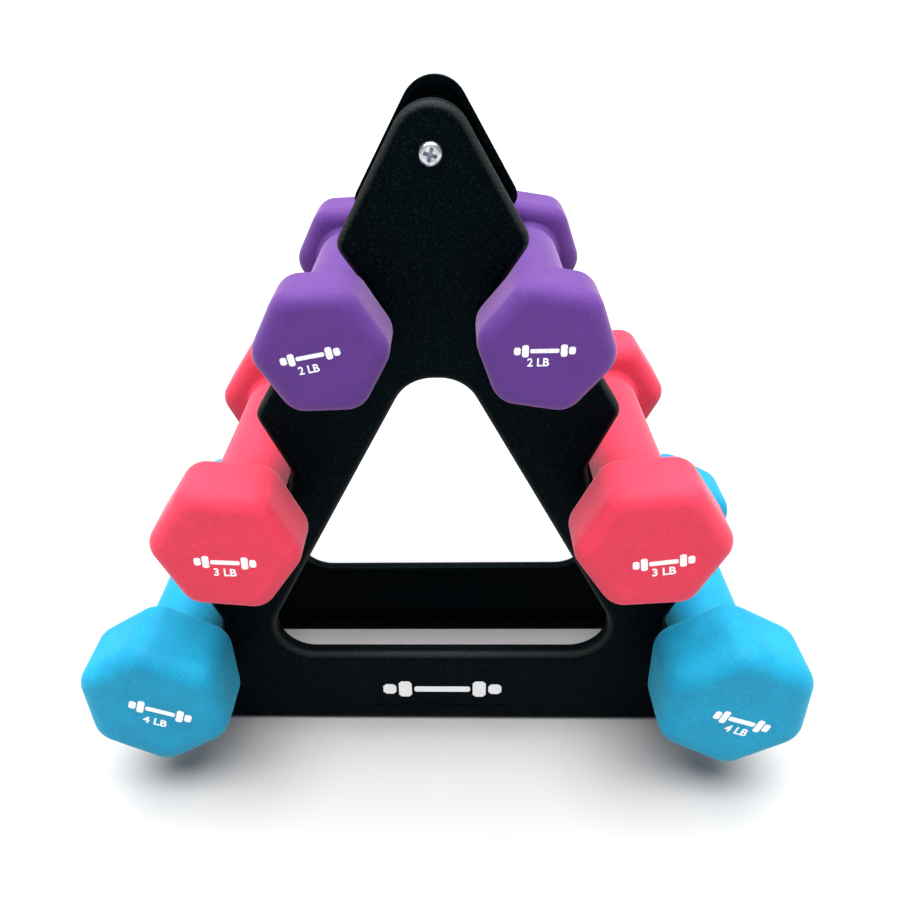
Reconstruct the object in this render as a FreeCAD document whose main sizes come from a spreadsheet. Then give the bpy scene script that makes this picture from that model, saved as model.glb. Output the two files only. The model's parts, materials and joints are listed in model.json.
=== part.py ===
import FreeCAD, Part
import math
import os
import Sketcher

# A-frame dumbbell rack with its three pairs of hexagonal dumbbells, in millimetres.
# +Z is up, +X is to the right of someone facing the rack, and +Y runs away from them.
# The origin is on the floor, midway between the two panels and midway between the two rows.
# The two panels are the same moulding: the rear one is the front one turned half a turn about Z.

SIZES = [
    # rack: overall
    ("cap_rise", 79.2, "upper handle's centre up to the top of the cap"),
    ("panel_span", 81.4, "outer face to outer face of the two panels"),
    ("panel_depth", 8.4, "depth of a panel's rim"),
    ("panel_wall", 2.4, "thickness of a panel's skin and rim"),
    ("edge_round", 4.0, "round along the outer edges of a panel"),
    ("cap_radius", 15.0, "radius of a panel's top"),
    ("foot_spread", 9.1, "lower lip out to the outer end of a panel's foot"),
    # rack: rounds in the panel's outline
    ("tip_round", 6.0, "round at the widest point of each step"),
    ("throat_round", 3.5, "round between a cradle's wall and the step above it"),
    ("lip_ease", 0.2, "how much rounder a lip's outline is than the panel's edge"),
    ("foot_round", 5.0, "round at the outer end of the foot"),
    # rack: cradles
    ("seat_play", 3.8, "how much larger a seat's radius is than the handle's"),
    ("rest_gap", 0.3, "gap left under a resting handle"),
    ("wall_rise", 10.0, "height of a cradle's inner wall above the seat's centre"),
    ("lip_angle", 36.0, "angle of the lip's end below the seat's centre, in degrees"),
    # rack: window
    ("window_top_drop", 24.8, "upper handle's centre down to the window's top edge"),
    ("window_base", 47.0, "height of the window's bottom edge"),
    ("window_top_inset", 29.7, "upper handle's centre in to the window's top corner"),
    ("window_base_inset", 38.1, "lower handle's centre in to the window's bottom corner"),
    ("window_base_round", 18.0, "round at the window's bottom corners"),
    # rack: blank badge on the base bar
    ("badge_half_width", 36.6, "half width of the sunken badge"),
    ("badge_top", 35.0, "height of the badge's top edge"),
    ("badge_base", 11.0, "height of the badge's bottom edge"),
    ("badge_depth", 0.3, "depth of the badge"),
    # crossbars and screws
    ("crossbar_radius", 8.0, "outer radius of a crossbar"),
    ("crossbar_bore", 5.0, "radius of the hollow middle of a crossbar"),
    ("crossbar_plug", 18.0, "length of the thick end that takes the screw"),
    ("crossbar_edge", 0.8, "chamfer at a crossbar's ends"),
    ("upper_bar_drop", 16.9, "top of the cap down to the centre of the top crossbar"),
    ("lower_bar_height", 18.0, "height of the two lower crossbars"),
    ("lower_bar_shift", 0.6, "lower handle's centre out to a lower crossbar's centre"),
    ("socket_gap", 0.15, "gap round a crossbar's end in its socket"),
    ("socket_wall", 1.2, "wall of the socket ring inside a panel"),
    ("screw_radius", 2.0, "radius of a screw's shank"),
    ("screw_length", 16.0, "length of a screw below its head"),
    ("screw_point", 2.0, "length of a screw's point"),
    ("head_radius", 4.25, "radius of a screw's head"),
    ("head_height", 2.5, "height of a screw's head"),
    ("head_rim", 0.9, "straight part of a screw head's side"),
    ("recess_reach", 2.5, "reach of the cross recess from its centre"),
    ("recess_half", 0.6, "half width of an arm of the cross recess"),
    ("recess_depth", 1.5, "depth of the cross recess"),
    ("pilot_gap", 0.05, "gap round the shank in the crossbar"),
    ("clearance_gap", 0.25, "gap round the shank in the panel"),
    # dumbbells
    ("head_coat", 2.6, "thickness of the soft coat over the iron heads"),
    ("grip_coat", 4.0, "thickness of the soft coat over the iron handle"),
    ("neck_flare", 1.8, "how far a handle flares where it meets its heads"),
]

# One line for each tier: where its handles rest and how the panel is stepped round them.
TIERS = [
    ("upper", {
        "step_out": (41.5, "rack centre out to the handle's centre"),
        "rise": (81.0, "middle handle's centre up to this handle's centre"),
        "tip_out": (-4.2, "handle's centre out to the step's widest point"),
        "tip_up": (30.2, "handle's centre up to the step's widest point"),
        "wall_lean": (-3.0, "how far the cradle's wall leans in"),
        "across_flats": (47.4, "head, across flats"),
        "head_length": (30.9, "head, along the handle"),
        "head_gap": (1.4, "gap from a panel's outer face to a head"),
        "grip_radius": (14.7, "radius of the handle"),
        "corner_round": (10.5, "round along a head's six edges"),
        "face_round": (6.6, "round at a head's ends"),
        "left_roll": (1.5, "turn of the left dumbbell about its handle, in degrees"),
        "right_roll": (-10.0, "turn of the right dumbbell about its handle, in degrees"),
    }),
    ("middle", {
        "step_out": (45.8, "upper handle's centre out to this handle's centre"),
        "rise": (86.2, "lower handle's centre up to this handle's centre"),
        "tip_out": (-9.8, "handle's centre out to the step's widest point"),
        "tip_up": (40.6, "handle's centre up to the step's widest point"),
        "wall_lean": (2.0, "how far the cradle's wall leans in"),
        "across_flats": (57.6, "head, across flats"),
        "head_length": (33.0, "head, along the handle"),
        "head_gap": (11.6, "gap from a panel's outer face to a head"),
        "grip_radius": (16.2, "radius of the handle"),
        "corner_round": (10.6, "round along a head's six edges"),
        "face_round": (7.6, "round at a head's ends"),
        "left_roll": (-5.7, "turn of the left dumbbell about its handle, in degrees"),
        "right_roll": (4.1, "turn of the right dumbbell about its handle, in degrees"),
    }),
    ("lower", {
        "step_out": (46.1, "middle handle's centre out to this handle's centre"),
        "rise": (57.0, "floor up to the handle's centre"),
        "tip_out": (-11.0, "handle's centre out to the step's widest point"),
        "tip_up": (43.0, "handle's centre up to the step's widest point"),
        "wall_lean": (1.5, "how far the cradle's wall leans in"),
        "across_flats": (65.6, "head, across flats"),
        "head_length": (40.4, "head, along the handle"),
        "head_gap": (8.9, "gap from a panel's outer face to a head"),
        "grip_radius": (17.8, "radius of the handle"),
        "corner_round": (13.6, "round along a head's six edges"),
        "face_round": (9.2, "round at a head's ends"),
        "left_roll": (-29.0, "turn of the left dumbbell about its handle, in degrees"),
        "right_roll": (-29.0, "turn of the right dumbbell about its handle, in degrees"),
    }),
]

# Sizes that follow from the ones above.
DERIVED = [
    ("upper_handle_out", "upper_step_out", "rack centre to the upper handle's centre"),
    ("middle_handle_out", "upper_handle_out + middle_step_out", "the same for the middle handle"),
    ("lower_handle_out", "middle_handle_out + lower_step_out", "the same for the lower handle"),
    ("lower_handle_up", "lower_rise", "floor to the lower handle's centre"),
    ("middle_handle_up", "lower_handle_up + middle_rise", "the same for the middle handle"),
    ("upper_handle_up", "middle_handle_up + upper_rise", "the same for the upper handle"),
    ("upper_length", "panel_span + 2 * (upper_head_gap + upper_head_length)", "upper dumbbell, end to end"),
    ("middle_length", "panel_span + 2 * (middle_head_gap + middle_head_length)", "the middle one"),
    ("lower_length", "panel_span + 2 * (lower_head_gap + lower_head_length)", "the lower one"),
    ("rack_height", "upper_handle_up + cap_rise", "floor to the top of the cap"),
    ("upper_bar_height", "rack_height - upper_bar_drop", "height of the top crossbar"),
    ("lower_bar_out", "lower_handle_out + lower_bar_shift", "rack centre to a lower crossbar"),
    ("lip_round", "edge_round + lip_ease", "round on the lip that holds a handle in"),
    ("foot_half_width", "lower_handle_out + (lower_grip_radius + seat_play) * cos(lip_angle) + foot_spread",
     "rack centre to the outer end of a panel's foot"),
    ("window_top", "upper_handle_up - window_top_drop", "height of the window's top edge"),
    ("window_top_half", "upper_handle_out - window_top_inset", "half width of the window at its top edge"),
    ("window_base_half", "lower_handle_out - window_base_inset", "half width of the window at its base"),
    ("window_top_round", "1.5 * window_top_half", "round at the window's top corners, which leaves some edge flat"),
]

TIER_NAMES = [name for name, sizes in TIERS]
SIDES = (("left", -1), ("right", 1))
HEX_SIDES = 6
NEAR = 0.05


def make_sheet(doc):
    """Put every size in one spreadsheet: name, value and what it is."""
    rows = list(SIZES)
    for tier, sizes in TIERS:
        rows += [(tier + "_" + key, value, note) for key, (value, note) in sizes.items()]
    rows += [(alias, "=" + text, note) for alias, text, note in DERIVED]
    sheet = doc.addObject("Spreadsheet::Sheet", "Sizes")
    for row, (alias, value, note) in enumerate(rows, start=1):
        sheet.set("A%d" % row, alias)
        sheet.set("B%d" % row, str(value))
        sheet.setAlias("B%d" % row, alias)
        sheet.set("C%d" % row, note)
    doc.recompute()
    return sheet


def bound(text):
    """Turn {name} into a reference to that cell of the spreadsheet."""
    return text.replace("{", "Sizes.").replace("}", "")


def measure(thing, text):
    """Work out an expression on the spreadsheet's cells as a number."""
    value = thing.Document.getObject("Sizes").evalExpression(bound(text))
    return float(getattr(value, "Value", value))


def bind(thing, **expressions):
    """Bind properties to expressions; two underscores in a name stand for a dot."""
    for name, text in expressions.items():
        thing.setExpression(name.replace("__", "."), bound(text))


# ---------------------------------------------------------------- sketches

def new_body(doc, label):
    """An empty body under the given name."""
    body = doc.addObject("PartDesign::Body", label)
    body.Label = label
    return body


def new_sketch(body, name, role, offset="0"):
    """A sketch on one of the body's own origin planes, raised by offset along its normal."""
    plane = [item for item in body.Origin.OriginFeatures if item.Role == role][0]
    sketch = body.newObject("Sketcher::SketchObject", name)
    sketch.AttachmentSupport = [(plane, "")]
    sketch.MapMode = "FlatFace"
    bind(sketch, AttachmentOffset__Base__z=offset)
    return sketch


def pin_point(sketch, edge, end, across, up):
    """Fix one end of an edge at two distances from the sketch's origin."""
    for kind, text in (("DistanceX", across), ("DistanceY", up)):
        spot = sketch.addConstraint(Sketcher.Constraint(kind, -1, 1, edge, end, measure(sketch, text)))
        sketch.setExpression("Constraints[%d]" % spot, bound(text))


def pin_radius(sketch, edge, text):
    """Fix the radius of an arc or a circle."""
    spot = sketch.addConstraint(Sketcher.Constraint("Radius", edge, measure(sketch, text)))
    sketch.setExpression("Constraints[%d]" % spot, bound(text))


def draw_polygon(sketch, corners):
    """Straight edges through corners that are given as pairs of expressions."""
    spots = [FreeCAD.Vector(measure(sketch, x), measure(sketch, y), 0) for x, y in corners]
    edges = []
    for start, end in zip(spots, spots[1:] + spots[:1]):
        edges.append(sketch.addGeometry(Part.LineSegment(start, end), False))
    for edge, following in zip(edges, edges[1:] + edges[:1]):
        sketch.addConstraint(Sketcher.Constraint("Coincident", edge, 2, following, 1))
    for edge, (x, y) in zip(edges, corners):
        pin_point(sketch, edge, 1, x, y)
    return edges


def draw_circle(sketch, across, up, radius):
    """A circle whose centre and radius are given as expressions."""
    centre = FreeCAD.Vector(measure(sketch, across), measure(sketch, up), 0)
    normal = FreeCAD.Vector(0, 0, 1)
    edge = sketch.addGeometry(Part.Circle(centre, normal, measure(sketch, radius)), False)
    pin_point(sketch, edge, 3, across, up)
    pin_radius(sketch, edge, radius)


def pad(body, sketch, name, length):
    """Pad a sketch on an XZ plane towards +Y, against the plane's normal."""
    feature = body.newObject("PartDesign::Pad", name)
    feature.Profile = sketch
    feature.Reversed = True
    bind(feature, Length=length)
    body.Document.recompute()


def pocket(body, sketch, name, length):
    """Cut a sketch on an XZ plane out of the body towards +Y, and check that it cuts."""
    before = body.Tip.Shape.Volume
    feature = body.newObject("PartDesign::Pocket", name)
    feature.Profile = sketch
    bind(feature, Length=length)
    body.Document.recompute()
    if feature.Shape.Volume >= before:
        raise RuntimeError(name + " removes nothing")


def fillet(body, name, edge_names, radius):
    """Round the named edges of the body's last feature."""
    base = body.Tip
    feature = body.newObject("PartDesign::Fillet", name)
    feature.Base = (base, edge_names)
    bind(feature, Radius=radius)
    body.Document.recompute()


def numbered(items, kind):
    """Pair each edge or face with the name that FreeCAD gives it."""
    return [("%s%d" % (kind, number), item) for number, item in enumerate(items, start=1)]


# ---------------------------------------------------------------- panel

def tier_points(tier):
    """The corners of one step on the right of the panel, as expressions."""
    def own(text):
        return text.replace("{.", "{" + tier + "_")
    seat_radius = own("({.grip_radius} + {seat_play})")
    seat_up = own("({.handle_up} + {seat_play} - {rest_gap})")
    return {
        "tip": (own("{.handle_out} + {.tip_out}"), own("{.handle_up} + {.tip_up}")),
        "throat": (own("{.handle_out} - %s - {.wall_lean}" % seat_radius), seat_up + " + {wall_rise}"),
        "seat": (own("{.handle_out} - %s" % seat_radius), seat_up),
        "lip": (own("{.handle_out} + %s * cos({lip_angle})" % seat_radius),
                "%s - %s * sin({lip_angle})" % (seat_up, seat_radius)),
        "centre": (own("{.handle_out}"), seat_up),
        "radius": seat_radius,
    }


def mirrored(point):
    """The same point on the left of the panel."""
    return ("-(%s)" % point[0], point[1])


def spot_of(thing, point, flip=1):
    """A point given as two expressions, as a vector; flip is -1 for its mirror image."""
    return FreeCAD.Vector(flip * measure(thing, point[0]), measure(thing, point[1]), 0)


def draw_seat(sketch, points, side):
    """The round seat under one handle, drawn from its inner wall to its lip."""
    centre = spot_of(sketch, points["centre"], side)
    radius = measure(sketch, points["radius"])
    lip = math.radians(measure(sketch, "{lip_angle}"))
    circle = Part.Circle(centre, FreeCAD.Vector(0, 0, 1), radius)
    if side > 0:
        return sketch.addGeometry(Part.ArcOfCircle(circle, math.pi, 2 * math.pi - lip), False)
    return sketch.addGeometry(Part.ArcOfCircle(circle, math.pi + lip, 2 * math.pi), False)


def draw_side(sketch, side, cap, cap_end):
    """One stepped side of the panel, from the cap down to the foot."""
    place = (lambda point: point) if side > 0 else mirrored
    # ends of the seat's arc: it runs anticlockwise, so its lip comes last on the right only
    wall_end, lip_end = (1, 2) if side > 0 else (2, 1)
    last = (cap, cap_end)
    edge = None
    for tier in TIER_NAMES:
        points = tier_points(tier)
        start = cap_tangent(sketch, side) if edge is None else spot_of(sketch, place(lip))
        for target in ("tip", "throat", "seat"):
            end = spot_of(sketch, place(points[target]))
            edge = sketch.addGeometry(Part.LineSegment(start, end), False)
            joined = "Tangent" if last[0] == cap else "Coincident"
            sketch.addConstraint(Sketcher.Constraint(joined, last[0], last[1], edge, 1))
            pin_point(sketch, edge, 2, *place(points[target]))
            last = (edge, 2)
            start = end
        seat = draw_seat(sketch, points, side)
        sketch.addConstraint(Sketcher.Constraint("Coincident", edge, 2, seat, wall_end))
        pin_point(sketch, seat, lip_end, *place(points["lip"]))
        pin_radius(sketch, seat, points["radius"])
        lip = points["lip"]
        last = (seat, lip_end)
    foot = place(("{foot_half_width}", "0"))
    edge = sketch.addGeometry(Part.LineSegment(spot_of(sketch, place(lip)), spot_of(sketch, foot)), False)
    sketch.addConstraint(Sketcher.Constraint("Coincident", last[0], last[1], edge, 1))
    pin_point(sketch, edge, 2, *foot)
    return edge


def cap_tangent(thing, side):
    """Where the straight side above the upper tier meets the round cap."""
    radius = measure(thing, "{cap_radius}")
    centre = FreeCAD.Vector(0, measure(thing, "{rack_height}") - radius, 0)
    reach = spot_of(thing, tier_points(TIER_NAMES[0])["tip"]) - centre
    turn = math.atan2(reach.y, reach.x) + math.acos(radius / reach.Length)
    return centre + FreeCAD.Vector(side * radius * math.cos(turn), radius * math.sin(turn), 0)


def draw_outline(sketch):
    """The whole outline of a panel: round cap, two stepped sides and a straight base."""
    radius = measure(sketch, "{cap_radius}")
    centre = FreeCAD.Vector(0, measure(sketch, "{rack_height}") - radius, 0)
    right = cap_tangent(sketch, 1) - centre
    turn = math.atan2(right.y, right.x)
    circle = Part.Circle(centre, FreeCAD.Vector(0, 0, 1), radius)
    cap = sketch.addGeometry(Part.ArcOfCircle(circle, turn, math.pi - turn), False)
    pin_point(sketch, cap, 3, "0", "{rack_height} - {cap_radius}")
    pin_radius(sketch, cap, "{cap_radius}")
    right_foot = draw_side(sketch, 1, cap, 1)
    left_foot = draw_side(sketch, -1, cap, 2)
    ends = [FreeCAD.Vector(side * measure(sketch, "{foot_half_width}"), 0, 0) for side in (1, -1)]
    base = sketch.addGeometry(Part.LineSegment(*ends), False)
    sketch.addConstraint(Sketcher.Constraint("Coincident", right_foot, 2, base, 1))
    sketch.addConstraint(Sketcher.Constraint("Coincident", left_foot, 2, base, 2))


def corner_edges(feature, points):
    """Names of the edges that run through the panel at the given corners, on both sides."""
    spots = [spot_of(feature, point, side) for point in points for side in (-1, 1)]
    names = []
    for name, edge in numbered(feature.Shape.Edges, "Edge"):
        ends = [vertex.Point for vertex in edge.Vertexes]
        if len(ends) != 2 or abs(ends[0].y - ends[1].y) < NEAR:
            continue
        gaps = [max(math.hypot(end.x - spot.x, end.z - spot.y) for end in ends) for spot in spots]
        if min(gaps) < NEAR:
            names.append(name)
    return names


def lies_at(item, depth):
    """Whether an edge or face is flat and lies at the given depth in the panel."""
    return item.BoundBox.YLength < NEAR and abs(item.BoundBox.Center.y - depth) < NEAR


def outer_edges(feature):
    """Names of the edges round the panel's outer face and its window."""
    return [name for name, edge in numbered(feature.Shape.Edges, "Edge") if lies_at(edge, 0)]


def inner_face(feature):
    """Name of the flat face on the side of the other panel."""
    deepest = measure(feature, "{panel_depth}")
    faces = [name for name, face in numbered(feature.Shape.Faces, "Face") if lies_at(face, deepest)]
    return faces[0]


def window_corners():
    """The four corners of the window, in order, as expressions."""
    top = ("{window_top_half}", "{window_top}")
    base = ("{window_base_half}", "{window_base}")
    return [top, base, mirrored(base), mirrored(top)]


def crossbar_spots():
    """Centres of the three crossbars, as expressions, with the names of their pieces."""
    lower = ("{lower_bar_out}", "{lower_bar_height}")
    return [
        ("top", ("0", "{upper_bar_height}")),
        ("left", mirrored(lower)),
        ("right", lower),
    ]


def make_panel(doc, label, turn, place):
    """One side panel: an A-shaped moulded tray, open towards the other panel."""
    body = new_body(doc, label)
    outline = new_sketch(body, label + "_outline", "XZ_Plane")
    draw_outline(outline)
    pad(body, outline, label + "_plate", "{panel_depth}")
    window = new_sketch(body, label + "_window", "XZ_Plane")
    draw_polygon(window, window_corners())
    pocket(body, window, label + "_window_cut", "{panel_depth}")

    tiers = [tier_points(tier) for tier in TIER_NAMES]
    rounds = [
        ("tips", [points["tip"] for points in tiers], "{tip_round}"),
        ("throats", [points["throat"] for points in tiers], "{throat_round}"),
        ("lips", [points["lip"] for points in tiers], "{lip_round}"),
        ("feet", [("{foot_half_width}", "0")], "{foot_round}"),
        ("window_top", window_corners()[:1], "{window_top_round}"),
        ("window_base", window_corners()[1:2], "{window_base_round}"),
    ]
    for name, points, radius in rounds:
        names = corner_edges(body.Tip, points)
        if len(names) != 2 * len(points):
            raise RuntimeError("%s: %d edges to round instead of %d" % (name, len(names), 2 * len(points)))
        fillet(body, label + "_" + name, names, radius)

    solid_plate = body.Tip
    tray = body.newObject("PartDesign::Thickness", label + "_tray")
    tray.Base = (solid_plate, [inner_face(solid_plate)])
    tray.Mode = "Skin"
    tray.Join = "Intersection"
    tray.Reversed = True
    bind(tray, Value="{panel_wall}")
    doc.recompute()
    fillet(body, label + "_edge", outer_edges(body.Tip), "{edge_round}")
    add_sockets(body, label)
    badge = new_sketch(body, label + "_badge", "XZ_Plane")
    top = ("{badge_half_width}", "{badge_top}")
    base = ("{badge_half_width}", "{badge_base}")
    draw_polygon(badge, [top, base, mirrored(base), mirrored(top)])
    pocket(body, badge, label + "_badge_cut", "{badge_depth}")
    body.Placement.Rotation = FreeCAD.Rotation(FreeCAD.Vector(0, 0, 1), turn)
    bind(body, Placement__Base__y=place)
    return body


def add_sockets(body, label):
    """A round socket for the end of each crossbar, with a hole for its screw."""
    rings = new_sketch(body, label + "_rings", "XZ_Plane", "-{panel_wall}")
    ends = new_sketch(body, label + "_sockets", "XZ_Plane", "-{panel_wall}")
    holes = new_sketch(body, label + "_holes", "XZ_Plane")
    for name, (across, up) in crossbar_spots():
        draw_circle(rings, across, up, "{crossbar_radius} + {socket_gap} + {socket_wall}")
        draw_circle(ends, across, up, "{crossbar_radius} + {socket_gap}")
        draw_circle(holes, across, up, "{screw_radius} + {clearance_gap}")
    pad(body, rings, label + "_ring_walls", "{panel_depth} - {panel_wall}")
    pocket(body, ends, label + "_socket_cut", "{panel_depth} - {panel_wall}")
    pocket(body, holes, label + "_hole_cut", "{panel_depth}")


# ---------------------------------------------------------------- crossbars and screws

def turn_profile(body, name, profile):
    """Add a solid turned about the Y axis, from corners given as (along, radius)."""
    sketch = new_sketch(body, name + "_profile", "YZ_Plane")
    draw_polygon(sketch, profile)
    turned = body.newObject("PartDesign::Revolution", name + "_turned")
    turned.Profile = sketch
    turned.ReferenceAxis = (sketch, ["H_Axis"])
    turned.Angle = 360
    body.Document.recompute()


def make_turned(doc, label, profile):
    """A body turned about its own Y axis, from corners given as (along, radius)."""
    body = new_body(doc, label)
    turn_profile(body, label, profile)
    return body


def make_crossbar(doc, name, spot):
    """A spacer between the panels: a tube with thick ends that take the screws."""
    half = "({panel_span} / 2 - {panel_wall})"
    pilot = "({screw_radius} + {pilot_gap})"
    shoulder = "%s - {crossbar_plug}" % half
    right = [
        (shoulder, "{crossbar_bore}"),
        (shoulder, pilot),
        (half, pilot),
        (half, "{crossbar_radius} - {crossbar_edge}"),
        ("%s - {crossbar_edge}" % half, "{crossbar_radius}"),
    ]
    left = [("-(%s)" % along, radius) for along, radius in reversed(right)]
    body = make_turned(doc, name + "_crossbar", right + left)
    bind(body, Placement__Base__x=spot[0], Placement__Base__z=spot[1])
    return body


def make_screw(doc, label, spot, turn, side):
    """A pan-head screw with a cross recess, its head against the panel's outer face."""
    profile = [
        ("-{head_height}", "0"),
        ("-{head_height}", "{head_radius}"),
        ("0", "{head_radius}"),
        ("0", "{screw_radius}"),
        ("{screw_length} - {screw_point}", "{screw_radius}"),
        ("{screw_length}", "0"),
    ]
    body = make_turned(doc, label, profile)
    crown = [name for name, edge in numbered(body.Tip.Shape.Edges, "Edge")
             if edge.BoundBox.YMax < -measure(body, "{head_height}") + NEAR
             and edge.BoundBox.XLength > measure(body, "{head_radius}")]
    fillet(body, label + "_crown", crown, "{head_height} - {head_rim}")
    recess = new_sketch(body, label + "_recess", "XZ_Plane", "{head_height}")
    reach, half = "{recess_reach}", "{recess_half}"
    quarter = [(half, reach), (half, half), (reach, half)]
    quarters = [quarter,
                [(x, "-" + z) for x, z in reversed(quarter)],
                [("-" + x, "-" + z) for x, z in quarter],
                [("-" + x, z) for x, z in reversed(quarter)]]
    draw_polygon(recess, [corner for part in quarters for corner in part])
    pocket(body, recess, label + "_recess_cut", "{recess_depth}")
    body.Placement.Rotation = FreeCAD.Rotation(FreeCAD.Vector(0, 0, 1), turn)
    bind(body, Placement__Base__x=spot[0], Placement__Base__z=spot[1],
         Placement__Base__y="%d * {panel_span} / 2" % side)
    return body


# ---------------------------------------------------------------- dumbbells

def hexagon(across_flats):
    """Six corners of a hexagon with a flat at its top, as expressions."""
    corners = []
    for step in range(HEX_SIDES):
        turn = "%d * 360 / %d" % (step, HEX_SIDES)
        radius = "(%s) / sqrt(3)" % across_flats
        corners.append(("%s * cos(%s)" % (radius, turn), "%s * sin(%s)" % (radius, turn)))
    return corners


def make_form(doc, tier, label, inset, grip_inset):
    """One dumbbell's form about its own centre, its heads and its handle moved in by the insets."""
    def own(text):
        return text.replace("{.", "{" + tier + "_")
    body = new_body(doc, label)
    body.AllowCompound = True
    starts = {"front": own("{.length} / 2 - %s" % inset),
              "back": own("{.head_length} - {.length} / 2 - %s" % inset)}
    for end, start in starts.items():
        head = new_sketch(body, label + "_" + end, "XZ_Plane", start)
        draw_polygon(head, hexagon(own("{.across_flats} - 2 * %s" % inset)))
        pad(body, head, label + "_%s_pad" % end, own("{.head_length} - 2 * %s" % inset))
    long_edges = [name for name, edge in numbered(body.Tip.Shape.Edges, "Edge")
                  if edge.BoundBox.YLength > NEAR]
    fillet(body, label + "_corners", long_edges, own("{.corner_round} - %s" % inset))
    rims = [name for name, edge in numbered(body.Tip.Shape.Edges, "Edge")
            if edge.BoundBox.YLength < NEAR]
    fillet(body, label + "_faces", rims, own("{.face_round} - %s" % inset))
    neck = own("({.length} / 2 - {.head_length} + %s)" % inset)
    inside = own("({.length} / 2 - {.head_length} / 2)")
    radius = own("({.grip_radius} - %s)" % grip_inset)
    right = [
        (inside, "0"),
        (inside, "%s + {neck_flare}" % radius),
        (neck, "%s + {neck_flare}" % radius),
        ("%s - {neck_flare}" % neck, radius),
    ]
    left = [("-(%s)" % along, height) for along, height in reversed(right)]
    turn_profile(body, label + "_grip", right + left)
    return body


def make_dumbbells(doc, tier):
    """The tier's two dumbbells: an iron core and the coat that it is dipped in, for each side."""
    core = make_form(doc, tier, tier + "_core_form", "{head_coat}", "{grip_coat}")
    outside = make_form(doc, tier, tier + "_coat_form", "0", "0")
    shell = doc.addObject("Part::Cut", tier + "_coat_shell")
    shell.Base = outside
    shell.Tool = core
    pieces = []
    for side, sign in SIDES:
        for kind, form in (("core", core), ("coat", shell)):
            piece = doc.addObject("Part::Compound", "%s_%s_%s" % (tier, side, kind))
            piece.Label = piece.Name
            piece.Links = [form]
            roll = measure(piece, "{%s_%s_roll}" % (tier, side))
            piece.Placement.Rotation = FreeCAD.Rotation(FreeCAD.Vector(0, -1, 0), roll)
            bind(piece, Placement__Base__x="%d * {%s_handle_out}" % (sign, tier),
                 Placement__Base__z="{%s_handle_up}" % tier)
            pieces.append(piece)
    return pieces


# ---------------------------------------------------------------- the whole rack

def build(doc):
    """Make every sub-part and return them in order."""
    make_sheet(doc)
    half_span = "{panel_span} / 2"
    pieces = [
        make_panel(doc, "front_panel", 0, "-" + half_span),
        make_panel(doc, "rear_panel", 180, half_span),
    ]
    for name, spot in crossbar_spots():
        pieces.append(make_crossbar(doc, name, spot))
        pieces.append(make_screw(doc, name + "_front_screw", spot, 0, -1))
        pieces.append(make_screw(doc, name + "_rear_screw", spot, 180, 1))
    for tier in TIER_NAMES:
        pieces += make_dumbbells(doc, tier)
    return pieces


def main():
    doc = FreeCAD.newDocument("dumbbell_rack")
    pieces = build(doc)
    doc.recompute()
    for item in doc.Objects:
        if "Invalid" in item.State or "Error" in item.State:
            raise RuntimeError("%s failed: %s" % (item.Name, item.State))
    os.makedirs("parts", exist_ok=True)
    for piece in pieces:
        shape = piece.Shape
        if shape.isNull() or not shape.isValid() or len(shape.Solids) != 1:
            raise RuntimeError("%s has no sound solid" % piece.Label)
        print("%-20s %8.1f cm3" % (piece.Label, shape.Volume / 1000))
    for piece in pieces:
        piece.Shape.exportStep("parts/%s.step" % piece.Label)


main()
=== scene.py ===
"""Looks of the dumbbell rack and its six dumbbells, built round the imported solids.

Sizes of the pieces are kept in millimetres, and everything else is in metres.
"""

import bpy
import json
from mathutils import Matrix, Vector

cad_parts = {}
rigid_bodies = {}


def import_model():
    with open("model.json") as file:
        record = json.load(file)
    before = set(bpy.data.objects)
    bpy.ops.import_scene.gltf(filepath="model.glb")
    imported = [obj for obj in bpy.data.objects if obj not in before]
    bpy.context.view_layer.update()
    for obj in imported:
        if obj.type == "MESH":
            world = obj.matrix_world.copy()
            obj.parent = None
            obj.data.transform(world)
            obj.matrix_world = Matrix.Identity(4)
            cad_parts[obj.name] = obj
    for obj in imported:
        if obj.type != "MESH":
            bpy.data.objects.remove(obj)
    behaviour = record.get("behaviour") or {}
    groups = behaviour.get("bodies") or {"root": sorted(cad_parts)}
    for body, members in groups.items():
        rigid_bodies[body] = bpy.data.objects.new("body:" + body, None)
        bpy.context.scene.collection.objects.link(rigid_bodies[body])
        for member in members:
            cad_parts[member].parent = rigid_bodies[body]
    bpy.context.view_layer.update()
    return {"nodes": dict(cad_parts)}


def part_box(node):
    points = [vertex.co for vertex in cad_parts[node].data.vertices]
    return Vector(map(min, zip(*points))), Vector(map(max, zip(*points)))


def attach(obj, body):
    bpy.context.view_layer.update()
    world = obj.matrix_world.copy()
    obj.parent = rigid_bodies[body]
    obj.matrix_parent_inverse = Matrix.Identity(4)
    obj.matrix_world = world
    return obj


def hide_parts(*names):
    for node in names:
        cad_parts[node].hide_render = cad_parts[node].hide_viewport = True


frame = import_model()

import json
import logging
import math
from dataclasses import dataclass
from enum import Enum
from typing import Any, Dict, List, Optional, Sequence, Tuple, Union

import bmesh
import bpy
from mathutils import Matrix, Vector

log = logging.getLogger("rack")

MM = 0.001
SAME_POINT = 2e-6
NO_LENGTH = 1e-6
QUARTER = math.pi / 2
Colour = Tuple[float, float, float]


class Side(Enum):
    """The side of the rack that a dumbbell lies on."""

    LEFT = "left"
    RIGHT = "right"


class Grain(Enum):
    """How a moulded plastic surface is textured: the size of its cells and the depth of its relief."""

    LEATHER = (0.00125, 0.00032)
    SATIN = (0.00045, 0.00004)

    @property
    def cell(self) -> float:
        """Size of one cell."""
        return self.value[0]

    @property
    def depth(self) -> float:
        """Height of the relief."""
        return self.value[1]


# ---------------------------------------------------------------- node tools


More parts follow.
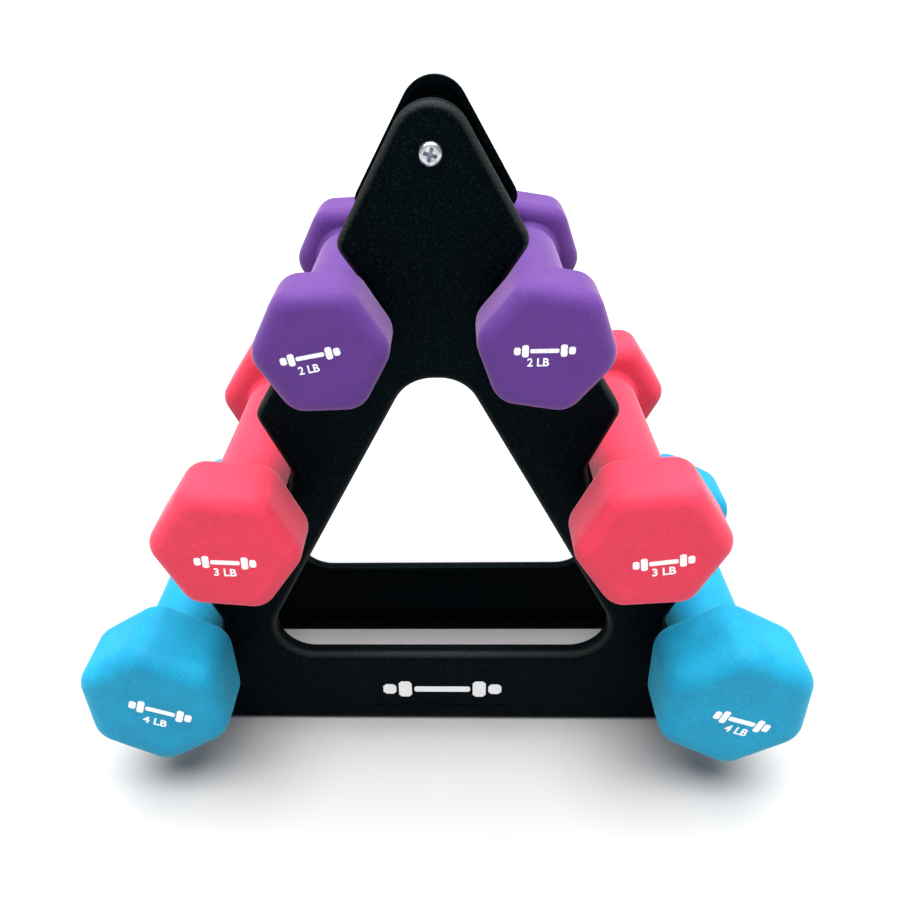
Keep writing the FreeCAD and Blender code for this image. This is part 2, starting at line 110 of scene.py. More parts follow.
class Wire:
    """An output socket of a node. Arithmetic on it adds Math nodes to the same tree."""

    def __init__(self, bench: "Bench", socket: Any) -> None:
        """Keeps the socket and the bench that it was made on."""
        self.bench = bench
        self.socket = socket

    def __add__(self, other: "Number") -> "Wire":
        """Sum of two values."""
        return self.bench.maths("ADD", self, other)

    __radd__ = __add__

    def __sub__(self, other: "Number") -> "Wire":
        """This value less the other."""
        return self.bench.maths("SUBTRACT", self, other)

    def __rsub__(self, other: "Number") -> "Wire":
        """The other value less this."""
        return self.bench.maths("SUBTRACT", other, self)

    def __mul__(self, other: "Number") -> "Wire":
        """Product of two values."""
        return self.bench.maths("MULTIPLY", self, other)

    __rmul__ = __mul__

    def __truediv__(self, other: "Number") -> "Wire":
        """This value divided by the other."""
        return self.bench.maths("DIVIDE", self, other)

    def __neg__(self) -> "Wire":
        """The value with its sign turned."""
        return self.bench.maths("MULTIPLY", self, -1.0)

    def clamped(self) -> "Wire":
        """The value held between 0 and 1."""
        return self.bench.maths("ADD", self, 0.0, clamp=True)

    def part(self, name: str) -> "Wire":
        """Another output of the same node.

        Args:
            name: the output's name.

        Returns:
            That output as a wire.
        """
        return Wire(self.bench, self.socket.node.outputs[name])


Number = Union[float, Wire]


class Bench:
    """A node tree being built, for a material or for geometry."""

    def __init__(self, tree: Any) -> None:
        """Keeps the tree that nodes are added to."""
        self.tree = tree

    def add(
        self,
        kind: str,
        settings: Optional[Dict[str, Any]] = None,
        inputs: Optional[Dict[Union[str, int], Any]] = None,
        out: Union[str, int] = 0,
    ) -> Wire:
        """Adds one node.

        Args:
            kind: the node's type.
            settings: the node's own properties, which are set first.
            inputs: a value, a wire or a list of wires for each socket, by name or number.
            out: the output to hand back.

        Returns:
            The chosen output.
        """
        node = self.tree.nodes.new(kind)
        for name, value in (settings or {}).items():
            setattr(node, name, value)
        for name, value in (inputs or {}).items():
            socket = node.inputs[name]
            wires = value if isinstance(value, list) else [value]
            if isinstance(wires[0], Wire):
                for wire in wires:
                    self.tree.links.new(wire.socket, socket)
            else:
                socket.default_value = value
        return Wire(self, node.outputs[out]) if len(node.outputs) else Wire(self, node.inputs[0])

    def maths(self, operation: str, *values: Number, clamp: bool = False) -> Wire:
        """Adds a Math node.

        Args:
            operation: what it works out.
            values: its inputs in order.
            clamp: whether the result is held between 0 and 1.

        Returns:
            The result.
        """
        settings = {"operation": operation, "use_clamp": clamp}
        return self.add("ShaderNodeMath", settings, dict(enumerate(values)))

    def blend(self, share: Number, low: Any, high: Any) -> Wire:
        """Mixes two colours.

        Args:
            share: how much of the second colour shows.
            low: the first colour.
            high: the second colour.

        Returns:
            The mixed colour.
        """
        low, high = [(*c, 1.0) if isinstance(c, tuple) and len(c) == 3 else c for c in (low, high)]
        return self.add("ShaderNodeMix", {"data_type": "RGBA"}, {0: share, 6: low, 7: high}, 2)


class Finish:
    """A material made of nodes. Each finish says how its surface node is fed."""

    label: str

    def dress(self, piece: Any) -> None:
        """Gives a piece this finish and nothing else.

        Args:
            piece: the object to dress.
        """
        if not piece.material_slots:
            piece.data.materials.append(None)
        for slot in piece.material_slots:
            slot.material = self.material

    @property
    def material(self) -> Any:
        """The finish's material, made the first time that it is asked for."""
        found = bpy.data.materials.get(self.label)
        return found or self._make()

    def _make(self) -> Any:
        """Makes the material with its output and its coordinates.

        Returns:
            The new material.
        """
        made = bpy.data.materials.new(self.label)
        made.use_nodes = True
        made.node_tree.nodes.clear()
        bench = Bench(made.node_tree)
        place = bench.add("ShaderNodeTexCoord", out="Object")
        surface = self.surface(bench, place)
        bench.add("ShaderNodeOutputMaterial", None, {"Surface": surface})
        return made

    def surface(self, bench: Bench, place: Wire) -> Wire:
        """Builds the surface.

        Args:
            bench: where to build it.
            place: the point on the object.

        Returns:
            The shader.
        """
        raise NotImplementedError


def noise(bench: Bench, place: Wire, size: float, detail: float = 3.0, rough: float = 0.55) -> Wire:
    """A soft pattern with features of about the given size, from 0 to 1.

    Args:
        bench: where to build it.
        place: the point on the object.
        size: size of the features.
        detail: how many finer layers it has.
        rough: how strong the finer layers are.

    Returns:
        The pattern.
    """
    return bench.add("ShaderNodeTexNoise", None, {"Vector": place, "Scale": 1.0 / size, "Detail": detail,
                                                  "Roughness": rough})


def spread(value: Wire, low: float, high: float) -> Wire:
    """Stretches a value so that low becomes 0 and high becomes 1, and holds it there.

    Args:
        value: the value to stretch.
        low: what becomes 0.
        high: what becomes 1.

    Returns:
        The stretched value.
    """
    return ((value - low) * (1.0 / (high - low))).clamped()


# ---------------------------------------------------------------- finishes


@dataclass(frozen=True)
class MouldedPlastic(Finish):
    """Black moulded plastic with a grained face, paler handling marks and a painted highlight along its
    rounded edges.
    """

    label: str
    grain: Grain
    deep: Colour = (0.0002, 0.0010, 0.0018)
    worn: Colour = (0.0075, 0.0110, 0.0120)
    # painted highlight: the paler colour that the rounded edges are mixed toward
    edge_highlight: Colour = (0.034, 0.038, 0.035)
    gloss_low: float = 0.36
    gloss_high: float = 0.52
    shine: float = 0.045
    cast: Colour = (0.35, 0.78, 1.0)

    def surface(self, bench: Bench, place: Wire) -> Wire:
        """Cells and fine dust of relief, with slow changes of colour and gloss."""
        warp = bench.add("ShaderNodeVectorMath", {"operation": "SCALE"}, {
            0: noise(bench, place, self.grain.cell * 2.5, 2.0).part("Color"), "Scale": self.grain.cell * 1.2})
        bent = bench.add("ShaderNodeVectorMath", {"operation": "ADD"}, {0: place, 1: warp})
        cells = bench.add("ShaderNodeTexVoronoi", {"feature": "SMOOTH_F1"}, {
            "Vector": bent, "Scale": 1.0 / self.grain.cell, "Smoothness": 0.35})
        dust = noise(bench, place, self.grain.cell * 0.4, 4.0, 0.6)
        relief = (1.0 - cells) * 0.75 + dust * 0.25
        slow = spread(noise(bench, place, 0.045, 4.0), 0.35, 0.7)
        marks = spread(noise(bench, place, 0.008, 6.0, 0.7), 0.56, 0.8)
        tops = spread(1.0 - cells, 0.62, 0.92)
        pale = (slow * 0.06 + tops * dust * 1.7 + marks * 0.1).clamped()
        facing = bench.add("ShaderNodeSeparateXYZ", None, {0: place.part("Normal")}, "Y")
        across = bench.maths("ABSOLUTE", facing)
        # painted highlight: on the rounded edges, where the normal is halfway turned from the face, the
        # colour is mixed toward the paler edge colour
        turned = spread(across * (1.0 - across) * 4.0, 0.25, 1.0) * (0.55 + 0.45 * tops)
        skin = bench.blend(pale, self.deep, self.worn)
        bump = bench.add("ShaderNodeBump", None, {"Strength": 0.75, "Distance": self.grain.depth,
                                                  "Height": relief})
        return bench.add("ShaderNodeBsdfPrincipled", None, {
            "Base Color": bench.blend(turned.clamped(), skin, self.edge_highlight),
            "Roughness": self.gloss_low + (self.gloss_high - self.gloss_low) * (1.0 - marks) - slow * 0.05,
            "Specular IOR Level": self.shine,
            "Specular Tint": (*self.cast, 1.0),
            "Normal": bump})


@dataclass(frozen=True)
class SoftCoat(Finish):
    """A thick matt coat dipped over iron: finely speckled and faintly mottled, with a soft bloom."""

    label: str
    deep: Colour
    pale: Colour
    bloom: Colour
    sheen: float = 0.3

    def surface(self, bench: Bench, place: Wire) -> Wire:
        """Fine speckle in colour and relief over slow, cloudy mottling."""
        speck = noise(bench, place, 0.0008, 3.0, 0.7)
        cloud = noise(bench, place, 0.011, 5.0, 0.62)
        drift = noise(bench, place, 0.05, 2.0)
        dots = spread(speck, 0.50, 0.72)
        mottle = spread(cloud, 0.32, 0.72)
        share = (dots * 0.50 + mottle * 0.28 + spread(drift, 0.3, 0.7) * 0.22).clamped()
        relief = speck * 0.6 + noise(bench, place, 0.0018, 3.0) * 0.4
        bump = bench.add("ShaderNodeBump", None, {"Strength": 0.8, "Distance": 0.00022, "Height": relief})
        return bench.add("ShaderNodeBsdfPrincipled", None, {
            "Base Color": bench.blend(share, self.deep, self.pale),
            "Roughness": 0.62 + 0.16 * mottle - 0.06 * dots,
            "Specular IOR Level": 0.2,
            "Sheen Weight": self.sheen,
            "Sheen Roughness": 0.45,
            "Sheen Tint": (*self.bloom, 1.0),
            "Normal": bump})


@dataclass(frozen=True)
class ZincPlate(Finish):
    """Bright zinc plate with a crystalline mottle, patchy stains and small dents."""

    label: str = "bright_zinc"
    bright: Colour = (0.78, 0.79, 0.81)
    dull: Colour = (0.34, 0.36, 0.38)
    # painted shade: the blue-grey colour of the cross recess
    painted_recess_shade: Colour = (0.26, 0.31, 0.38)

    def surface(self, bench: Bench, place: Wire) -> Wire:
        """Patchy crystals in colour and gloss, small dents, and painted shade in the cross recess."""
        crystals = bench.add("ShaderNodeTexVoronoi", {"feature": "F1"}, {
            "Vector": place, "Scale": 1.0 / 0.0011}, "Color")
        tone = bench.add("ShaderNodeSeparateColor", None, {0: crystals})
        stain = spread(noise(bench, place, 0.0016, 4.0, 0.65), 0.38, 0.66)
        share = (tone * 0.45 + stain * 0.55).clamped()
        # painted shade: faces marked as the recess take the shade colour and are made less metallic
        recess = bench.add("ShaderNodeAttribute", {"attribute_name": "recess"}, None, "Fac").clamped()
        bump = bench.add("ShaderNodeBump", None, {
            "Strength": 0.5, "Distance": 0.00006, "Height": noise(bench, place, 0.0007, 3.0)})
        return bench.add("ShaderNodeBsdfPrincipled", None, {
            "Base Color": bench.blend(recess, bench.blend(share, self.dull, self.bright), self.painted_recess_shade),
            "Metallic": 1.0 - recess * 0.85,
            "Roughness": 0.2 + 0.3 * (1.0 - stain),
            "Normal": bump})


@dataclass(frozen=True)
class CastIron(Finish):
    """Bare cast iron with a sandy skin, for the cores inside the coats."""

    label: str = "cast_iron"
    deep: Colour = (0.035, 0.034, 0.033)
    pale: Colour = (0.13, 0.125, 0.12)

    def surface(self, bench: Bench, place: Wire) -> Wire:
        """Sand marks in colour, gloss and relief."""
        sand = noise(bench, place, 0.0012, 5.0, 0.65)
        scale = spread(noise(bench, place, 0.01, 4.0), 0.35, 0.7)
        bump = bench.add("ShaderNodeBump", None, {"Strength": 0.7, "Distance": 0.0002, "Height": sand})
        return bench.add("ShaderNodeBsdfPrincipled", None, {
            "Base Color": bench.blend((sand * 0.5 + scale * 0.5).clamped(), self.deep, self.pale),
            "Metallic": 0.6,
            "Roughness": 0.55 + 0.3 * scale,
            "Normal": bump})


@dataclass(frozen=True)
class WhiteInk(Finish):
    """Pad-printed white ink, thin and slightly broken where the coat's speckle shows through."""

    label: str
    thin: Colour
    solid: Colour = (0.86, 0.87, 0.88)

    def surface(self, bench: Bench, place: Wire) -> Wire:
        """White with small gaps in the ink."""
        cover = spread(noise(bench, place, 0.0007, 4.0, 0.7), 0.26, 0.44)
        bump = bench.add("ShaderNodeBump", None, {
            "Strength": 0.3, "Distance": 0.00004, "Height": noise(bench, place, 0.0006)})
        return bench.add("ShaderNodeBsdfPrincipled", None, {
            "Base Color": bench.blend(cover, self.thin, self.solid),
            "Roughness": 0.5 + 0.15 * cover,
            "Normal": bump})


@dataclass(frozen=True)
class PaleFloor(Finish):
    """A plain pale studio floor."""

    label: str = "pale_floor"
    shade: Colour = (0.46, 0.46, 0.46)
    light: Colour = (0.49, 0.49, 0.49)

    def surface(self, bench: Bench, place: Wire) -> Wire:
        """Nearly even, with a very slow change of tone."""
        slow = spread(noise(bench, place, 0.8, 2.0), 0.3, 0.7)
        return bench.add("ShaderNodeBsdfPrincipled", None, {
            "Base Color": bench.blend(slow, self.shade, self.light),
            "Roughness": 0.9,
            "Specular IOR Level": 0.1})


# ---------------------------------------------------------------- geometry trees


class Recipe:
    """A geometry tree with named inputs, run on a small mesh to make a plain mesh."""

    def __init__(self, label: str) -> None:
        """Makes an empty tree with a geometry input and output."""
        self.tree = bpy.data.node_groups.new(label, "GeometryNodeTree")
        self.bench = Bench(self.tree)
        self._face("Geometry", "INPUT", "NodeSocketGeometry")
        self._face("Geometry", "OUTPUT", "NodeSocketGeometry")
        self.entry = self.tree.nodes.new("NodeGroupInput")
        self.ids: Dict[str, str] = {}

    def _face(self, name: str, way: str, kind: str) -> Any:
        """Adds a socket to the tree's own face.

        Args:
            name: the socket's name.
            way: "INPUT" or "OUTPUT".
            kind: the socket's type.

        Returns:
            The socket.
        """
        return self.tree.interface.new_socket(name=name, in_out=way, socket_type=kind)

    def ask(self, name: str, kind: str = "Float") -> Wire:
        """Adds a named input.

        Args:
            name: what it is called.
            kind: its type.

        Returns:
            Its wire inside the tree.
        """
        self.ids[name] = self._face(name, "INPUT", "NodeSocket" + kind).identifier
        return Wire(self.bench, self.entry.outputs[name])

    @property
    def given(self) -> Wire:
        """The mesh that the tree runs on."""
        return Wire(self.bench, self.entry.outputs["Geometry"])

    def close(self, shape: Wire, material: Wire) -> None:
        """Ends the tree with real geometry and its material.

        Args:
            shape: the finished shape.
            material: the material input.
        """
        real = self.bench.add("GeometryNodeRealizeInstances", None, {"Geometry": shape})
        dressed = self.bench.add("GeometryNodeSetMaterial", None, {"Geometry": real, "Material": material})
        self.bench.add("NodeGroupOutput", None, {0: dressed})

    def run(self, label: str, start: Any, values: Dict[str, Any], crease: float) -> Any:
        """Runs the tree and hands back a plain object.

        Args:
            label: the new piece's name.
            start: the mesh that it runs on.
            values: a value for each named input.
            crease: the angle past which an edge stays sharp, in degrees.

        Returns:
            The new object, at the origin, with no modifier.

        Raises:
            RuntimeError: the tree made nothing.
        """
        piece = bpy.data.objects.new(label, start)
        bpy.context.scene.collection.objects.link(piece)
        modifier = piece.modifiers.new("recipe", "NODES")
        modifier.node_group = self.tree
        for name, value in values.items():
            modifier[self.ids[name]] = value
        graph = bpy.context.evaluated_depsgraph_get()
        mesh = bpy.data.meshes.new_from_object(piece.evaluated_get(graph))
        piece.modifiers.clear()
        piece.data = mesh
        tidy(mesh, crease)
        if not mesh.polygons:
            raise RuntimeError("%s came out empty" % label)
        return piece


def tidy(mesh: Any, crease: float) -> None:
    """Closes seams and poles, turns faces outwards and sets smooth shading.

    Args:
        mesh: the mesh to tidy.
        crease: the angle past which an edge stays sharp, in degrees.
    """
    work = bmesh.new()
    work.from_mesh(mesh)
    bmesh.ops.remove_doubles(work, verts=work.verts, dist=SAME_POINT)
    bmesh.ops.dissolve_degenerate(work, edges=work.edges, dist=NO_LENGTH)
    bmesh.ops.recalc_face_normals(work, faces=work.faces)
    work.to_mesh(mesh)
    work.free()
    mesh.shade_smooth()
    mesh.set_sharp_from_angle(angle=math.radians(crease))


def seed_mesh(label: str, points: Sequence[Vector]) -> Any:
    """A mesh of loose points.

    Args:
        label: its name.
        points: where they are.

    Returns:
        The mesh.
    """
    mesh = bpy.data.meshes.new(label)
    mesh.from_pydata([tuple(point) for point in points], [], [])
    return mesh


# ---------------------------------------------------------------- dumbbells


@dataclass(frozen=True)
class Form:
    """Sizes of one weight of dumbbell, in millimetres."""

    across_flats: float
    head_length: float
    length: float
    grip_radius: float
    corner_round: float
    face_round: float
    mark: str
    neck_flare: float = 1.8
    face_dish: float = 0.16


class Tier(Enum):
    """The three weights, from the top of the rack down."""

    UPPER = Form(47.4, 30.9, 146.0, 14.7, 10.5, 6.6, "2 LB")
    MIDDLE = Form(57.6, 33.0, 170.6, 16.2, 10.6, 7.6, "3 LB")
    LOWER = Form(65.6, 40.4, 180.0, 17.8, 13.6, 9.2, "4 LB")

    @property
    def word(self) -> str:
        """The tier's name in lower case."""
        return self.name.lower()


class HexDumbbellRecipe:
    """Geometry tree for a dumbbell: a tube round the handle's axis.

    Its outline is a rounded hexagon along the heads and a circle along the handle.
    """

    AROUND = 144
    CAP, RIM, WALL, BACK, FLARE, GRIP = 6, 10, 6, 5, 4, 9

    def __init__(self) -> None:
        """Builds the tree."""
        self.recipe = Recipe("hex_dumbbell")
        ask, bench = self.recipe.ask, self.recipe.bench
        flats, head, length = ask("Across flats"), ask("Head length"), ask("Length")
        grip, corner, face = ask("Grip radius"), ask("Corner round"), ask("Face round")
        flare, dish, uneven = ask("Neck flare"), ask("Face dish"), ask("Unevenness")
        centre, roll = ask("Centre", "Vector"), ask("Roll", "Vector")
        material = ask("Material", "Material")

        stations = self.CAP + 2 * self.RIM + self.WALL + self.BACK + self.FLARE + self.GRIP
        grid = bench.add("GeometryNodeMeshGrid", None, {
            "Size X": 1.0, "Size Y": 1.0, "Vertices X": self.AROUND + 1, "Vertices Y": 2 * stations + 1})
        spot = bench.add("ShaderNodeSeparateXYZ", None, {0: bench.add("GeometryNodeInputPosition")})
        turn = (spot + 0.5) * (2 * math.pi)
        along = spot.part("Y") * (2.0 * stations)
        end = bench.maths("SIGN", along)
        step = stations - bench.maths("ABSOLUTE", along)

        places = [0]
        for count in (self.CAP, self.RIM, self.WALL, self.RIM, self.BACK, self.FLARE, self.GRIP):
            places.append(places[-1] + count)
        cap, rim, wall, rear, back, neck, mid = [
            spread(step, float(low), float(high)) for low, high in zip(places, places[1:])]
        rim_sin, rim_cos = bench.maths("SINE", rim * QUARTER), bench.maths("COSINE", rim * QUARTER)
        rear_sin, rear_cos = bench.maths("SINE", rear * QUARTER), bench.maths("COSINE", rear * QUARTER)

        inset = face * (1.0 - rear_cos) - face * rim_sin
        reach = cap * (flats * 0.5 - face) - inset
        rounding = cap * (corner - face) - inset
        rounding = self.between(back, rounding, grip + flare)
        reach = self.between(back, reach, grip + flare)
        reach, rounding = [self.between(neck, size, grip) for size in (reach, rounding)]
        half = length * 0.5
        depth = (face * (1.0 - rim_cos) + wall * (head - 2.0 * face) + face * rear_sin
                 + neck * flare + mid * (half - head - flare))
        depth = depth + dish * (1.0 - cap * cap)

        radius = self.outline(bench, turn, reach, rounding)
        around = bench.add("ShaderNodeCombineXYZ", None, {
            0: bench.maths("COSINE", turn), 1: spot.part("Y") * 4.0, 2: bench.maths("SINE", turn)})
        ripple = bench.add("ShaderNodeTexNoise", None, {"Vector": around, "Scale": 4.0, "Detail": 1.0})
        radius = radius - uneven * ripple * cap
        shape = bench.add("ShaderNodeCombineXYZ", None, {
            0: radius * bench.maths("COSINE", turn), 1: end * (half - depth),
            2: radius * bench.maths("SINE", turn)})
        moved = bench.add("GeometryNodeSetPosition", None, {"Geometry": grid, "Position": shape})
        placed = bench.add("GeometryNodeTransform", None, {
            "Geometry": moved, "Translation": centre, "Rotation": roll})
        self.recipe.close(placed, material)

    @staticmethod
    def between(share: Wire, low: Number, high: Number) -> Wire:
        """The value that lies the given share of the way from low to high."""
        return low + share * (high - low)

    @staticmethod
    def outline(bench: Bench, turn: Wire, reach: Wire, rounding: Wire) -> Wire:
        """Radius of a rounded hexagon at an angle.

        Args:
            bench: where to build it.
            turn: the angle from a corner, in radians.
            reach: the distance from the centre to a flat.
            rounding: the corners' radius. When it is the reach, the outline is a circle.

        Returns:
            The radius.
        """
        sixth, twelfth = math.pi / 3, math.pi / 6
        lean = bench.maths("ABSOLUTE", bench.maths("MODULO", turn, sixth) - twelfth)
        slope = (reach - rounding) * math.tan(twelfth)
        flat_ends = bench.maths("ARCTAN2", slope, reach)
        on_flat = bench.maths("LESS_THAN", lean, flat_ends)
        straight = reach / bench.maths("COSINE", lean)
        hub = (reach - rounding) * (1.0 / math.cos(twelfth))
        off = twelfth - lean
        side = hub * bench.maths("SINE", off)
        room = bench.maths("MAXIMUM", rounding * rounding - side * side, 0.0)
        curved = hub * bench.maths("COSINE", off) + bench.maths("SQRT", room)
        return on_flat * straight + (1.0 - on_flat) * curved


@dataclass(frozen=True)
class Layout:
    """Where a dumbbell's sign and weight are printed, from the middle of its face, in millimetres."""

    sign: Tuple[float, float]
    text: Tuple[float, float]
    tilt: float
    size: Tuple[float, float]


@dataclass
class Dumbbell:
    """One dumbbell: its coat, its iron core and the mark printed on its front face."""

    tier: Tier
    side: Side
    roll: float
    coat: SoftCoat
    iron: CastIron
    layout: Layout
    uneven: float = 0.12

    @property
    def label(self) -> str:
        """The dumbbell's name, as its body and nodes have it."""
        return "%s_%s" % (self.tier.word, self.side.value)

    @property
    def body(self) -> str:
        """The body that it moves with."""
        return self.label + "_dumbbell"

    @property
    def centre(self) -> Vector:
        """Middle of the handle, from the core's own box."""
        low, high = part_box(self.label + "_core")
        return (low + high) / 2

    def build(self, recipe: HexDumbbellRecipe) -> None:
        """Makes the coat and the mark and dresses the core.

        Args:
            recipe: the tree that makes the coat.
        """
        form = self.tier.value
        values = {
            "Across flats": form.across_flats * MM, "Head length": form.head_length * MM,
            "Length": form.length * MM, "Grip radius": form.grip_radius * MM,
            "Corner round": form.corner_round * MM, "Face round": form.face_round * MM,
            "Neck flare": form.neck_flare * MM, "Face dish": form.face_dish * MM,
            "Unevenness": self.uneven * MM, "Centre": self.centre,
            "Roll": (0.0, -math.radians(self.roll), 0.0), "Material": self.coat.material}
        piece = recipe.recipe.run(self.label + "_soft_coat", seed_mesh("seed", []), values, 60.0)
        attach(piece, self.body)
        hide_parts(self.label + "_coat")
        log.info("%s: %d faces", piece.name, len(piece.data.polygons))
        self.iron.dress(frame["nodes"][self.label + "_core"])
        PrintedMark(self).build()


def printed(outlines: Sequence[Sequence[Tuple[float, float]]], work: Any, front: float, back: float) -> None:
    """Adds flat shapes as thin slabs that face the front.

    Args:
        outlines: corners of each shape, anticlockwise seen from the front, in metres.
        work: the mesh being built.
        front: Y of the slabs' front.
        back: Y of the slabs' back.
    """
    for outline in outlines:
        faces = [work.verts.new((x, front, z)) for x, z in outline]
        sunk = [work.verts.new((x, back, z)) for x, z in outline]
        work.faces.new(faces)
        work.faces.new(list(reversed(sunk)))
        for here in range(len(outline)):
            after = (here + 1) % len(outline)
            work.faces.new((faces[after], faces[here], sunk[here], sunk[after]))


CUT_SHARE = 0.22
PLATE_SHARE = 0.11
GAP_SHARE = 0.022
BAR_SHARE = 0.34
OUTER_PLATE_SHARE = 0.62


def pictogram(width: float, height: float) -> List[List[Tuple[float, float]]]:
    """A plain dumbbell sign: a bar between two pairs of plates.

    Args:
        width: end to end.
        height: of the larger plates.

    Returns:
        Corners of its five shapes, in metres, about its own middle.
    """
    def block(left: float, right: float, tall: float) -> List[Tuple[float, float]]:
        """Corners of one upright bar with cut corners."""
        cut = min(right - left, 2 * tall) * CUT_SHARE
        return [(left, -tall + cut), (left + cut, -tall), (right - cut, -tall), (right, -tall + cut),
                (right, tall - cut), (right - cut, tall), (left + cut, tall), (left, tall - cut)]

    half, tall = width / 2, height / 2
    plate, gap = width * PLATE_SHARE, width * GAP_SHARE
    shapes = [block(-half + 2 * (plate + gap), half - 2 * (plate + gap), tall * BAR_SHARE)]
    for sign in (-1, 1):
        for order, share in enumerate((OUTER_PLATE_SHARE, 1.0)):
            near = half - order * (plate + gap)
            left, right = sorted((sign * near, sign * (near - plate)))
            shapes.append(block(left, right, tall * share))
    return shapes


@dataclass
class PrintedMark:
    """The weight printed on a dumbbell's front face, under a plain sign."""

    dumbbell: Dumbbell
    text_share: float = 0.064
    clear: float = 0.02
    bite: float = 0.15

    def build(self) -> None:
        """Makes the sign and the lettering as one thin mesh on the face."""
        dumbbell, form = self.dumbbell, self.dumbbell.tier.value
        face = -form.length / 2 * MM
        front, back = face + self.clear * MM, face + (form.face_dish + self.bite) * MM
        layout = dumbbell.layout
        turn = Matrix.Rotation(-math.radians(layout.tilt), 4, "Y")
        work = bmesh.new()
        printed(pictogram(layout.size[0] * MM, layout.size[1] * MM), work, front, back)
        spot = dumbbell.centre + Vector((layout.sign[0], 0.0, layout.sign[1])) * MM
        bmesh.ops.transform(work, matrix=Matrix.Translation((spot.x, 0.0, spot.z)) @ turn, verts=work.verts)
        letters = lettering(form.mark, form.across_flats * self.text_share * MM)
        spot = dumbbell.centre + Vector((layout.text[0], 0.0, layout.text[1])) * MM
        letters.transform(Matrix.Translation((spot.x, (front + back) / 2, spot.z)) @ turn
                          @ Matrix.Diagonal((1, (back - front), 1, 1)))
        work.from_mesh(letters)
        mesh = bpy.data.meshes.new(dumbbell.label + "_mark")
        work.to_mesh(mesh)
        work.free()
        tidy(mesh, 30.0)
        piece = bpy.data.objects.new(dumbbell.label + "_mark", mesh)
        bpy.context.scene.collection.objects.link(piece)
        WhiteInk("white_ink_" + dumbbell.tier.word, dumbbell.coat.pale).dress(piece)
        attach(piece, dumbbell.body)
        log.info("%s: %s", piece.name, form.mark)


CAPITAL_SHARE = 0.7
BOLDNESS = 0.022


def lettering(words: str, height: float) -> Any:
    """Plain letters as a mesh that faces the front, one unit thick, about their own middle.

    Args:
        words: what they say.
        height: height of a capital.

    Returns:
        The mesh.
    """
    curve = bpy.data.curves.new("letters", "FONT")
    curve.body = words
    curve.align_x, curve.align_y = "CENTER", "CENTER"
    curve.size = height / CAPITAL_SHARE
    curve.offset = BOLDNESS * curve.size
    curve.extrude = 0.5
    curve.resolution_u = 3
    holder = bpy.data.objects.new("letters", curve)
    bpy.context.scene.collection.objects.link(holder)
    graph = bpy.context.evaluated_depsgraph_get()
    mesh = bpy.data.meshes.new_from_object(holder.evaluated_get(graph))
    bpy.data.objects.remove(holder)
    mesh.transform(Matrix.Rotation(math.pi / 2, 4, "X"))
    return mesh


# ---------------------------------------------------------------- rack


@dataclass
class SidePanel:
    """One of the two moulded side panels."""

    node: str
    plastic: MouldedPlastic

    def build(self) -> None:
        """Dresses the solid."""
        self.plastic.dress(frame["nodes"][self.node])
        log.info("%s: %s", self.node, self.plastic.label)


@dataclass
class BarBadge:
    """The plain printed sign in the sunken badge of the front panel's base bar."""

    ink: WhiteInk
    width: float = 62.0
    height: float = 11.0
    up: float = 22.9
    sunk: float = 0.3
    thickness: float = 0.12

    def build(self) -> None:
        """Makes the sign as a thin mesh on the badge's floor."""
        low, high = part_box("front_panel")
        floor = low.y + self.sunk * MM
        work = bmesh.new()
        shapes = pictogram(self.width * MM, self.height * MM)
        lifted = [[(x, z + self.up * MM) for x, z in shape] for shape in shapes]
        printed(lifted, work, floor - self.thickness * MM, floor + self.thickness * MM)
        mesh = bpy.data.meshes.new("badge_sign")
        work.to_mesh(mesh)
        work.free()
        tidy(mesh, 30.0)
        piece = bpy.data.objects.new("badge_sign", mesh)
        bpy.context.scene.collection.objects.link(piece)
        self.ink.dress(piece)
        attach(piece, "rack")
        log.info("badge_sign: %d faces", len(mesh.polygons))


@dataclass
class Crossbars:
    """The three round bars between the panels."""

    plastic: MouldedPlastic
    names: Tuple[str, ...] = ("top_crossbar", "left_crossbar", "right_crossbar")

    def build(self) -> None:
        """Dresses the solids."""
        for name in self.names:
            self.plastic.dress(frame["nodes"][name])
            log.info("%s: %s", name, self.plastic.label)


